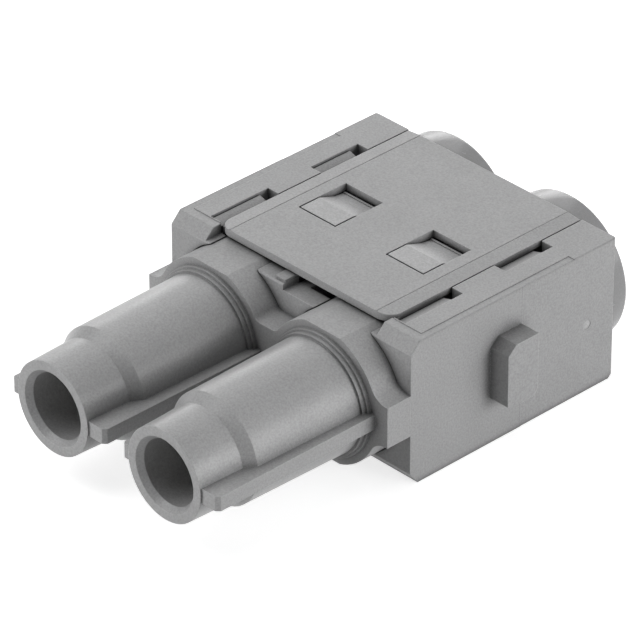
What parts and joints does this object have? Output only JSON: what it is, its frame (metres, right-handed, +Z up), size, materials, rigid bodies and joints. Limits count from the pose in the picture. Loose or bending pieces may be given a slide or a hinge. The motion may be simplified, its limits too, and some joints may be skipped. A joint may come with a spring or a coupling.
{
  "type": "heavy-duty connector module",
  "caption": "Flat high-current connector module, socket side: stepped and ribbed contact tubes, moulded housing with a latched lid and guide pegs, turned sockets and rear wire sleeves.",
  "frame": {"origin": "centre of the bounding box in X and Y, on the plane that the underside rests on", "axes": "+Z up through the lid, +Y to the wire side, -Y the way the tubes point, +X to the side of the long ribs"},
  "size_m": [0.0348, 0.0496, 0.0148],
  "materials": {
    "housing_grey": "moulded, fine spark-eroded grain",
    "lid_grey": "moulded, fine spark-eroded grain",
    "carrier_grey": "moulded, fine spark-eroded grain",
    "sleeve_grey": "moulded, fine spark-eroded grain",
    "silver_plate": "silver plated, turned",
    "spring_silver": "silver plated spring alloy",
    "clip_steel": "bright spring steel"
  },
  "bodies": {
    "root": {"outer_shell": "housing_grey", "cover_plate": "lid_grey", "contact_carrier": "carrier_grey", "rear_sleeve_left": "sleeve_grey", "socket_left": "silver_plate", "contact_band_left": "spring_silver", "mouth_ring_left": "silver_plate", "retaining_clip_left": "clip_steel", "rear_sleeve_right": "sleeve_grey", "socket_right": "silver_plate", "contact_band_right": "spring_silver", "mouth_ring_right": "silver_plate", "retaining_clip_right": "clip_steel"}
  },
  "joints": []
}
